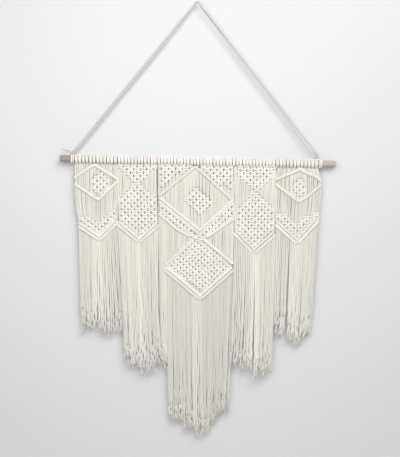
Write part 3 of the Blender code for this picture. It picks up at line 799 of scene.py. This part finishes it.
def tie_net(cords, free, lines, ends, net):
    """Tie a net's knots, join its rows at the sides, and run its loose cords to the next work."""
    knots = net_knots(net)
    knot = Knot(net.first_step, net.second_step)
    for (a, b), spot in knots.items():
        knot.tie(cords, spot)
        open_below = [side for side, under in ((-1, (a - 1, b)), (1, (a, b - 1))) if under not in knots]
        for side, (u, hanging) in product(open_below, KNOT_CORDS):
            leaving = knot.spot(spot, side * u, -KNOT_HALF)
            if (a - 1, b - 1) in knots:
                entering = knot.spot(knots[a - 1, b - 1], side * u, KNOT_HALF)
                free.add(slack(leaving, entering, side * rng.uniform(0, SIDE_LOOP_BOW), 0.0))
            else:
                loose_end(free, lines, ends, net.below, leaving, 1, side * (hanging - u))
        if (a + 1, b + 1) in knots:
            continue
        open_above = [side for side, over in ((-1, (a, b + 1)), (1, (a + 1, b))) if over not in knots]
        for side, (u, hanging) in product(open_above, KNOT_CORDS):
            lean = -side * HEADING_LEAN if net.above == "heading" else side * (hanging - u)
            meeting = knot.spot(spot, side * u, KNOT_HALF)
            loose_end(free, lines, ends, net.above, meeting, -1, lean)


def loose_end(free, lines, ends, line, spot, way, lean):
    """Take a net's loose cord straight up or down to a line, or leave it for a run to pick up."""
    drop = drop_on(lines[line], spot[0])
    if (line, way) in ends:
        ends[line, way].append(tuple(spot))
    elif (drop - spot[1]) * way > SHORTEST:
        free.add(slack(spot, (spot[0] + lean, drop), 0.0, 0.0))


def drop_on(line, x):
    return float(np.interp(x, *zip(*line.corners)))


def even_path(corners, step):
    """Spots at even steps along a path whose corners are slightly rounded, with its normals."""
    path = even_steps(np.array(corners, float), step)
    for _ in range(ROUNDINGS):
        path[1:-1] = (path[:-2] + 2 * path[1:-1] + path[2:]) / 4
    along = unit(np.gradient(path, axis=0))
    return path, np.stack([-along[:, 1], along[:, 0]], -1)


def hitches(cords, corners, offset):
    """Loops hitched side by side over a leading cord, along a path."""
    path, across = even_path(corners, HITCH_PITCH / LOOP_STATIONS)
    path = path + across * offset
    turn = math.tau * np.arange(len(path)) / LOOP_STATIONS
    swell = 1 + sum(share * np.sin(turn / slow) for share, slow in SWELLS)
    side = HITCH_RADIUS * swell * np.cos(turn)
    depth = -HITCH_RADIUS * swell * np.sin(turn) - RIDGE_FORWARD
    loops = np.hstack([path + across * side[:, None], depth[:, None], np.full((len(path), 1), LOOP)])
    cords.add(loops)
    leader = [(x, drop, -RIDGE_FORWARD, LOOP) for x, drop in path[:: LEADER_LOOPS * LOOP_STATIONS]]
    cords.add(leader)


def ridge_parts(ridge):
    """A ridge's corners, in two parts if it leaves a neck open."""
    line = LINES[ridge.panel][ridge.line]
    neck = NECKS.get((ridge.panel, ridge.line))
    if neck is None:
        return [line.corners]
    left, right = ((x, drop_on(line, x)) for x in neck)
    return [
        [corner for corner in line.corners if corner[0] < left[0]] + [left],
        [right] + [corner for corner in line.corners if corner[0] > right[0]],
    ]


def ridges(panel):
    cords = Cords()
    for ridge in RIDGES:
        if ridge.panel == panel:
            for corners in ridge_parts(ridge):
                for index in range(ridge.count):
                    hitches(cords, corners, (index - (ridge.count - 1) / 2) * RIDGE_PITCH)
    return cords


def nets_and_free_cords(panel):
    """A panel's square knots, and the cords that hang free between its lines."""
    knotted, free = Cords(), Cords()
    lines = dict(LINES[panel], heading=heading_line(panel))
    runs = [run for run in RUNS if run.panel == panel]
    firm = ["heading"] + [ridge.line for ridge in RIDGES if ridge.panel == panel]
    ends = {(run.above, 1): [] for run in runs if run.above not in firm}
    ends.update({(run.below, -1): [] for run in runs if run.below not in firm})
    for net in NETS:
        if net.panel == panel:
            tie_net(knotted, free, lines, ends, net)
    for run in runs:
        hang_run(free, lines, ends, run)
    for owner, x0, drop0, x1, drop1 in SIDE_CORDS:
        if owner == panel:
            free.add(slack((x0, drop0), (x1, drop1), SIDE_CORD_BOW, 0.0) + (0, 0, SIDE_CORD_BACK, 0))
    return knotted, free


def hang_run(free, lines, ends, run):
    """Hang the free cords of a run, lapped into the nets at its lines where those have ends."""
    above, below = lines[run.above], lines[run.below]
    leaving = ends_within(above, ends.get((run.above, 1), ()), run)
    meeting = ends_within(below, ends.get((run.below, -1), ()), run)
    count = max(run.last - run.first, cords_across(leaving), cords_across(meeting))
    starts = spots_on(above, leaving, run.first + run.shift, run.last + run.shift, count, -LAP)
    stops = spots_on(below, meeting, run.first, run.last, count, LAP)
    sway = rng.normal(0, SWAY_SPREAD, count // SWAY_CLUMP + 1)
    bows = np.linspace(run.first_bow, run.last_bow, count)
    for index, (start, stop) in enumerate(zip(starts, stops)):
        aside = bows[index] + sway[index // SWAY_CLUMP] + rng.normal(0, BOW_SPREAD)
        free.add(slack(start, stop, aside, rng.normal(0, FORWARD_SPREAD)))


def ends_within(line, ends, run):
    """A net's loose ends at a line within the width of a run, from left to right."""
    left = along_line(line, run.first)[0] - END_REACH
    right = along_line(line, run.last)[0] + END_REACH
    return sorted(end for end in ends if left <= end[0] <= right)


def cords_across(ends):
    return round((ends[-1][0] - ends[0][0]) / FREE_PITCH) + 1 if ends else 0


def spots_on(line, ends, first, last, count, lap):
    """Where the cords of a run meet a line: lapped into a net along its loose ends, or else on
    the line itself."""
    if not ends:
        cords = np.linspace(first + EDGE_CORDS, last - EDGE_CORDS, count)
        return [along_line(line, cord) for cord in cords]
    across = np.linspace(ends[0][0], ends[-1][0], count)
    return list(zip(across, np.interp(across, *zip(*ends)) + lap))


def fringe_top(line, cord):
    """Where a cord of the fringe leaves its line; the outermost ones leave at its very ends."""
    count = line.last - line.first
    return along_line(line, line.first + (cord - line.first) * count / (count - 1))


def fringe_foot(drops, share):
    """Drop of the fringe's uneven foot, share of the way across its section."""
    first, middle, last = drops
    if share < 0.5:
        return first + (middle - first) * share * 2
    return middle + (last - middle) * (share * 2 - 1)


def fringe(panel):
    """The panel's loose cords, the plies they come apart into, and the hairs at their ends."""
    cords, plies, hairs = Cords(), Cords(PLY_SIDES), Cords(HAIR_SIDES)
    for section in FRINGES:
        if section.panel == panel:
            count = section.last - section.first
            depths = rng.normal(0, CLUMP_SPREAD, count // FRINGE_CLUMP + 1)
            for index in range(count):
                stations, middle = fringe_cord(section, index, depths[index // FRINGE_CLUMP])
                apart = len(stations) - int(rng.uniform(*APART_STATIONS))
                # The tone carries painted light near the panel's middle, and painted shade for sections
                # set darker
                cords.add(stations[:apart], PAINTED_LIGHT_MIDDLE * middle + section.paler)
                come_apart(plies, hairs, stations[apart - 1:])
    return cords, plies, hairs


def fringe_cord(section, index, depth):
    """One cord of a section of fringe, and how near the panel's middle it is, up to 1."""
    share = (index + 0.5) / (section.last - section.first)
    cord = section.first + index
    x0, drop0 = fringe_top(LINES[section.panel][section.line], cord)
    x1 = section.left + (section.right - section.left) * share + rng.normal(0, FOOT_SPREAD)
    length = fringe_foot(section.drops, share) + rng.normal(0, LENGTH_SPREAD) - drop0
    even = np.linspace(0, 1, int(length / FRINGE_SPACING) + 1)
    t = even * (1 + TOP_WIDER - TOP_WIDER * even)
    middle = math.exp(-((cord + 0.5 - PANELS[section.panel].cords / 2) / MIDDLE_WIDTH) ** 2)
    x = x0 + (x1 - x0) * t ** section.late + waves(t, length)
    x -= CLUMP_PULL * (index % FRINGE_CLUMP - (FRINGE_CLUMP - 1) / 2) * t ** CLUMP_LATE
    y = -section.forward * np.minimum(1, SWING_PACE * t)
    y += depth * t + rng.uniform(-DEPTH_LIMIT, DEPTH_LIMIT) * t
    y += WAVES_FORWARD * waves(t, length) - PROUD * middle * np.sin(math.pi * t ** PROUD_PEAK)
    radius = FREE * np.interp(t, (0, 1), FRINGE_GIRTH) * rng.normal(1, GIRTH_SPREAD)
    return np.stack([x, drop0 + length * t, y, radius], -1), middle


def waves(t, length):
    """Slow and close waves along a hanging cord, which grow towards its end."""
    total = np.zeros_like(t)
    for shortest, longest, swing, late in WAVES:
        turns = t * length / rng.uniform(shortest, longest) + rng.uniform()
        total += swing * np.sin(math.tau * turns) * t ** late
    return total


def come_apart(plies, hairs, stations):
    """The end of a cord, whose plies untwist, drift apart and curl."""
    path = smooth(stations, steps=2)
    t = np.linspace(0, 1, len(path))
    turns = rng.uniform(*PLY_TURNS) * len(stations) / PLY_TURN_STATIONS
    curl = rng.normal(0, CURL_SPREAD)
    for ply in range(PLIES):
        angle = math.tau * (ply / PLIES + turns * t ** TURNS_LATE) + rng.normal(0, TWIST_SPREAD) * t
        away = PLY_AWAY + rng.uniform(*PLY_FURTHER) * t ** FURTHER_LATE
        made = path.copy()
        made[:, 0] += away * np.cos(angle) + (curl + rng.normal(0, PLY_CURL_SPREAD)) * t ** CURL_LATE
        made[:, 2] += away * np.sin(angle) + rng.normal(0, PLY_FORWARD_SPREAD) * t ** FORWARD_LATE
        made[:, 1] += rng.uniform(*PLY_DROPS) * t ** DROP_LATE
        made[:, 3] = np.interp(t, (0, 1), PLY_RADII)
        plies.add(made)
        fray(hairs, made[-2], made[-1])


def fray(hairs, before, end):
    """Hairs that spread from the end of a cord or a ply."""
    down = unit(end[:3] - before[:3])
    for _ in range(FRAY_HAIRS):
        turn = rng.uniform(0, math.tau)
        out = np.array([math.cos(turn), 0.0, math.sin(turn)])
        reach = rng.uniform(*HAIR_DOWN)
        aside = rng.uniform(*HAIR_ASIDE)
        stations = []
        for t in HAIR_STATIONS:
            spot = end[:3] + down * (reach * t - HAIR_ABOVE) + out * (HAIR_BESIDE + aside * t * t)
            stations.append((*spot, HAIR_RADIUS * (1 - HAIR_TAPER * t)))
        hairs.add(stations)


def make_panel(panel, finishes):
    solid = panel + "_panel"
    heading(panel).build(panel + "_heading", finishes["knotted"], solid)
    knotted, free = nets_and_free_cords(panel)
    knotted.build(panel + "_square_knots", finishes["knotted"], solid)
    free.build(panel + "_free_cords", finishes["hanging"], solid)
    ridges(panel).build(panel + "_hitched_ridges", finishes["knotted"], solid)
    cords, plies, hairs = fringe(panel)
    cords.build(panel + "_fringe", finishes["hanging"], solid)
    plies.build(panel + "_fringe_plies", finishes["frayed"], solid)
    hairs.build(panel + "_frayed_ends", finishes["frayed"], solid)


# Hanger -----------------------------------------------------------------------------------------

def hanger_path(side):
    """Middle line of one of the hanger's two strands, from the left knot over the nail."""
    route = []
    for index, (x, drop, off) in enumerate(HANGER_ROUTE):
        before = np.array(HANGER_ROUTE[max(index - 1, 0)][:2])
        after = np.array(HANGER_ROUTE[min(index + 1, len(HANGER_ROUTE) - 1)][:2])
        along = unit(after - before)
        depth = math.sqrt(max(STRAND_AWAY ** 2 - off ** 2, 0.0))
        route.append((x - side * off * along[1], drop + side * off * along[0], side * depth))
    return smooth(route, steps=3)


def twisted_cord(name, path, finish, solid):
    """A cord whose plies show as ridges that wind round it."""
    middles = place(path)[None]
    length = np.arange(len(path))[:, None] * np.linalg.norm(path[1] - path[0])
    angle = math.tau * np.arange(STRAND_SIDES) / STRAND_SIDES
    lobes = 1 + PLY_RELIEF * np.cos(PLIES * (angle + math.tau * length / PLY_TURN))
    points = tube_points(middles, HANGER * lobes[None], STRAND_SIDES)
    quads = tube_quads(1, len(path), STRAND_SIDES)
    corners = tube_map(middles, STRAND_SIDES)
    tones = np.full(len(points), HANGER_TONE)
    return piece(name, finish, [points], [quads], [corners], [tones], solid)


def hanger_strand(name, side, finish):
    path = even_steps(hanger_path(side), STRAND_STEP)
    made = twisted_cord(name, path, finish, name.replace("twisted_", ""))
    return made


def wraps(left, right):
    """Turns of cord round the dowel."""
    cords = Cords(KNOT_SIDES)
    stations = []
    for share in np.linspace(0, 1, WRAP_TURNS * WRAP_STATIONS + 1):
        turn = 360 * WRAP_TURNS * share + WRAP_START
        spot = round_dowel(left + (right - left) * share, DOWEL_RADIUS + HANGER, turn)
        stations.append((*spot, HANGER))
    cords.add(stations)
    return cords


def lump(middle, lean):
    """A small round knot: a trefoil with its ends joined."""
    cords = Cords(KNOT_SIDES)
    t = np.linspace(0, math.tau, LUMP_STATIONS + 1)
    x = (np.sin(t) + 2 * np.sin(2 * t)) * LUMP_SIZE
    up = (np.cos(t) - 2 * np.cos(2 * t)) * LUMP_SIZE
    cords.add(np.stack([
        middle[0] + x * math.cos(lean) - up * math.sin(lean),
        middle[1] - x * math.sin(lean) - up * math.cos(lean),
        -LUMP_DEPTH * LUMP_SIZE * np.sin(3 * t),
        np.full_like(t, LUMP_RADIUS),
    ], -1))
    return cords


def hanger_knots(finish, wrap_finish):
    for side, edges in (("left", LEFT_WRAPS), ("right", RIGHT_WRAPS)):
        wraps(*edges).build(side + "_hanger_wraps", wrap_finish, "hanger_knot_" + side)
    left = lump(LEFT_LUMP, LUMP_LEAN)
    left.add(smooth(LEFT_TAIL, steps=4))
    left.build("left_hanger_hitch", finish, "hanger_knot_left")
    hairs = Cords(HAIR_SIDES)
    tail = np.array(LEFT_TAIL, float)
    fray(hairs, tail[-2], tail[-1])
    hairs.build("left_hanger_tail_hairs", finish, "hanger_knot_left")
    lump(RIGHT_LUMP, -LUMP_LEAN).build("right_hanger_hitch", finish, "hanger_knot_right")


# Finishes ---------------------------------------------------------------------------------------

def node(tree, kind, **settings):
    """A node with its properties set."""
    made = tree.nodes.new(kind)
    for name, value in settings.items():
        setattr(made, name, value)
    return made


def set_inputs(made, values):
    """Set a node's inputs by their names."""
    for name, value in values.items():
        made.inputs[name].default_value = value


def calculate(tree, operation, *values):
    """A Math node whose inputs are numbers or other nodes' outputs."""
    made = node(tree, "ShaderNodeMath", operation=operation)
    for given, value in zip(made.inputs, values):
        if isinstance(value, (int, float)):
            given.default_value = value
        else:
            tree.links.new(value, given)
    return made.outputs[0]


def linear(tree, value, factor, start):
    """Start plus factor times a value."""
    return calculate(tree, "ADD", calculate(tree, "MULTIPLY", value, factor), start)


def noise(tree, detail, *spot):
    """Noise at a spot given by its coordinates."""
    vector = node(tree, "ShaderNodeCombineXYZ")
    for given, value in zip(vector.inputs, spot):
        tree.links.new(value, given)
    made = node(tree, "ShaderNodeTexNoise")
    set_inputs(made, {"Scale": 1.0, "Detail": detail})
    tree.links.new(vector.outputs[0], made.inputs["Vector"])
    return made.outputs["Fac"]


def scaled_colour(tree, colour, scale):
    made = node(tree, "ShaderNodeVectorMath", operation="SCALE")
    tree.links.new(colour, made.inputs[0])
    tree.links.new(scale, made.inputs["Scale"])
    return made.outputs[0]


def relief(tree, shader, height, distance, strength):
    """A bump on a shader's normal, its distance in metres."""
    bump = node(tree, "ShaderNodeBump")
    set_inputs(bump, {"Distance": distance, "Strength": strength})
    tree.links.new(height, bump.inputs["Height"])
    tree.links.new(bump.outputs[0], shader.inputs["Normal"])


def new_material(name):
    """A material, its node tree, and its Principled BSDF."""
    made = bpy.data.materials.new(name)
    made.use_nodes = True
    return made, made.node_tree, made.node_tree.nodes["Principled BSDF"]


def twisted_plies(tree, length, girth, ply_length):
    """Where a spot lies across the plies that wind round a cord, and their rounded height there."""
    turns = calculate(tree, "DIVIDE", length, ply_length)
    phase = calculate(tree, "ADD", turns, calculate(tree, "MULTIPLY", girth, PLIES))
    wave = calculate(tree, "SINE", calculate(tree, "MULTIPLY", phase, math.pi))
    return phase, calculate(tree, "POWER", calculate(tree, "ABSOLUTE", wave), PLY_ROUNDING)


def cord_surface():
    """Node group: three twisted plies with grooves between them, painted shade in the grooves, fibres,
    and uneven tone.
    """
    tree = bpy.data.node_groups.new("twisted cotton surface", "ShaderNodeTree")
    for way, kind, names in SURFACE_SOCKETS:
        for name in names:
            tree.interface.new_socket(name=name, in_out=way, socket_type=kind)
    given = node(tree, "NodeGroupInput").outputs
    result = node(tree, "NodeGroupOutput").inputs
    link = tree.links.new
    tone = given["Tone"]
    spot = node(tree, "ShaderNodeSeparateXYZ")
    link(given["Cord Map"], spot.inputs[0])
    length, girth = spot.outputs[:2]
    phase, ply = twisted_plies(tree, length, girth, given["Ply Length"])
    painted_groove_shade = calculate(tree, "SUBTRACT", 1.0, ply)
    fibres = noise(
        tree, FIBRE_DETAIL,
        calculate(tree, "MULTIPLY", length, FIBRES_ALONG),
        calculate(tree, "MULTIPLY", phase, FIBRES_ACROSS),
        calculate(tree, "MULTIPLY", tone, FIBRES_BY_TONE),
    )
    slow = noise(
        tree, SLOW_DETAIL,
        calculate(tree, "MULTIPLY", length, SLOW_ALONG),
        calculate(tree, "MULTIPLY", tone, SLOW_BY_TONE),
    )
    # In the grooves the colour turns to the grooves' darker colour: painted shade
    mix = node(tree, "ShaderNodeMix", data_type="RGBA")
    link(calculate(tree, "MULTIPLY", painted_groove_shade, given["Groove Shade"]), mix.inputs["Factor"])
    link(given["Light Colour"], mix.inputs["A"])
    link(given["Painted Groove Shade Colour"], mix.inputs["B"])
    bright = linear(tree, tone, BRIGHT_BY_TONE, LEAST_BRIGHT)
    bright = linear(tree, slow, BRIGHT_BY_SLOW, bright)
    bright = linear(tree, fibres, BRIGHT_BY_FIBRES, bright)
    link(scaled_colour(tree, mix.outputs["Result"], bright), result["Colour"])
    link(linear(tree, fibres, ROUGH_BY_FIBRES, LEAST_ROUGH), result["Roughness"])
    link(linear(tree, fibres, HIGH_BY_FIBRES, ply), result["Height"])
    return tree


def cotton(surface, name, light, painted_groove_shade, ply_length, shade, bump):
    """A matt cotton cord that uses the shared surface with its own values."""
    made, tree, shader = new_material(name)
    link = tree.links.new
    used = node(tree, "ShaderNodeGroup", node_tree=surface)
    set_inputs(used, {
        "Light Colour": (*light, 1), "Painted Groove Shade Colour": (*painted_groove_shade, 1),
        "Ply Length": ply_length, "Groove Shade": shade,
    })
    cord_map = node(tree, "ShaderNodeUVMap", uv_map="length and girth")
    tone = node(tree, "ShaderNodeAttribute", attribute_name="tone")
    link(cord_map.outputs[0], used.inputs["Cord Map"])
    link(tone.outputs["Fac"], used.inputs["Tone"])
    relief(tree, shader, used.outputs["Height"], bump, COTTON_RELIEF)
    link(used.outputs["Colour"], shader.inputs["Base Color"])
    link(used.outputs["Roughness"], shader.inputs["Roughness"])
    set_inputs(shader, COTTON_SHINE)
    return made


def sanded_wood():
    """Pale wood with grain along the dowel, a little darker and pinker towards its left end."""
    made, tree, shader = new_material("pale sanded wood")
    link = tree.links.new
    spot = node(tree, "ShaderNodeTexCoord")
    stretch = node(tree, "ShaderNodeMapping")
    set_inputs(stretch, {"Scale": GRAIN_STRETCH})
    link(spot.outputs["Object"], stretch.inputs["Vector"])
    grain = node(tree, "ShaderNodeTexNoise")
    set_inputs(grain, WOOD_NOISE)
    link(stretch.outputs[0], grain.inputs["Vector"])
    along = node(tree, "ShaderNodeSeparateXYZ")
    link(spot.outputs["Object"], along.inputs[0])
    colours = node(tree, "ShaderNodeValToRGB")
    for element, colour in zip(colours.color_ramp.elements, WOOD_COLOURS):
        element.color = colour
    link(linear(tree, along.outputs[0], *WOOD_CHANGE), colours.inputs["Fac"])
    bright = linear(tree, grain.outputs["Fac"], *WOOD_BRIGHT)
    link(scaled_colour(tree, colours.outputs["Color"], bright), shader.inputs["Base Color"])
    link(linear(tree, grain.outputs["Fac"], *WOOD_ROUGH), shader.inputs["Roughness"])
    relief(tree, shader, grain.outputs["Fac"], *WOOD_RELIEF)
    return made


# Studio -----------------------------------------------------------------------------------------

def camera():
    data = bpy.data.cameras.new("camera")
    data.lens = LONG_SENSOR * CAMERA_AWAY / VIEW_HEIGHT
    data.sensor_width = LONG_SENSOR
    made = new_object("camera", data)
    made.location = place((*VIEW_MIDDLE, -CAMERA_AWAY))
    made.rotation_euler = (math.radians(90), 0, 0)
    bpy.context.scene.camera = made


def plain(name, colour, roughness):
    made, _, shader = new_material(name)
    set_inputs(shader, {
        "Base Color": (*colour, 1), "Roughness": roughness, "Specular IOR Level": STAGE_SHINE,
    })
    return made


def clear_from_behind(material):
    """The backdrop shows from the front only and lets light through, so the hanging is seen and
    lit from behind as well."""
    tree = material.node_tree
    link = tree.links.new
    face = node(tree, "ShaderNodeNewGeometry")
    ray = node(tree, "ShaderNodeLightPath")
    unseen = calculate(tree, "MAXIMUM", face.outputs["Backfacing"], ray.outputs["Is Shadow Ray"])
    clear = node(tree, "ShaderNodeBsdfTransparent")
    either = node(tree, "ShaderNodeMixShader")
    link(unseen, either.inputs[0])
    link(tree.nodes["Principled BSDF"].outputs[0], either.inputs[1])
    link(clear.outputs[0], either.inputs[2])
    link(either.outputs[0], tree.nodes["Material Output"].inputs["Surface"])


def sheet_of(name, corners, finish):
    mesh = bpy.data.meshes.new(name)
    mesh.from_pydata([tuple(place(corner)) for corner in corners], [], [(0, 1, 2, 3)])
    mesh.materials.append(finish)
    new_object(name, mesh)


def area_light(name, x, drop, y, size, power, colour):
    data = bpy.data.lights.new(name, "AREA")
    data.shape = "DISK"
    data.size = size
    data.energy = power
    data.color = colour
    made = new_object(name, data)
    made.location = place((x, drop, y))
    aim = place(LIT_SPOT) - np.array(made.location)
    made.rotation_euler = Vector(aim).to_track_quat("-Z", "Y").to_euler()


def studio():
    backdrop = plain(*BACKDROP_LOOK)
    clear_from_behind(backdrop)
    floor = plain(*FLOOR_LOOK)
    left, right = -STAGE_HALF, STAGE_HALF
    sheet_of("backdrop", ((left, FLOOR_DROP, BACKDROP_Y), (right, FLOOR_DROP, BACKDROP_Y),
                          (right, BACKDROP_TOP, BACKDROP_Y), (left, BACKDROP_TOP, BACKDROP_Y)), backdrop)
    sheet_of("floor", ((left, FLOOR_DROP, FLOOR_FRONT), (right, FLOOR_DROP, FLOOR_FRONT),
                       (right, FLOOR_DROP, FLOOR_BACK), (left, FLOOR_DROP, FLOOR_BACK)), floor)
    for light in LIGHTS:
        area_light(*light)
    world = bpy.data.worlds.new("soft room")
    world.use_nodes = True
    sky = world.node_tree.nodes["Background"]
    set_inputs(sky, {"Color": ROOM_LIGHT, "Strength": ROOM_STRENGTH})
    bpy.context.scene.world = world
    bpy.context.scene.view_settings.view_transform = "Standard"


def make_everything():
    camera()
    surface = cord_surface()
    # One cream cotton in lighter and darker copies, as painted light and painted shade
    finishes = {kind: cotton(surface, *row) for kind, row in COTTONS.items()}
    hanger_strand("twisted_hanger_strand_front", -1, finishes["hanger"])
    hanger_strand("twisted_hanger_strand_back", 1, finishes["hanger"])
    hanger_knots(finishes["hanger"], finishes["knotted"])
    for panel in PANELS:
        make_panel(panel, finishes)
    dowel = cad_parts["dowel"]
    dowel.data.materials.clear()
    dowel.data.materials.append(sanded_wood())
    studio()


make_everything()
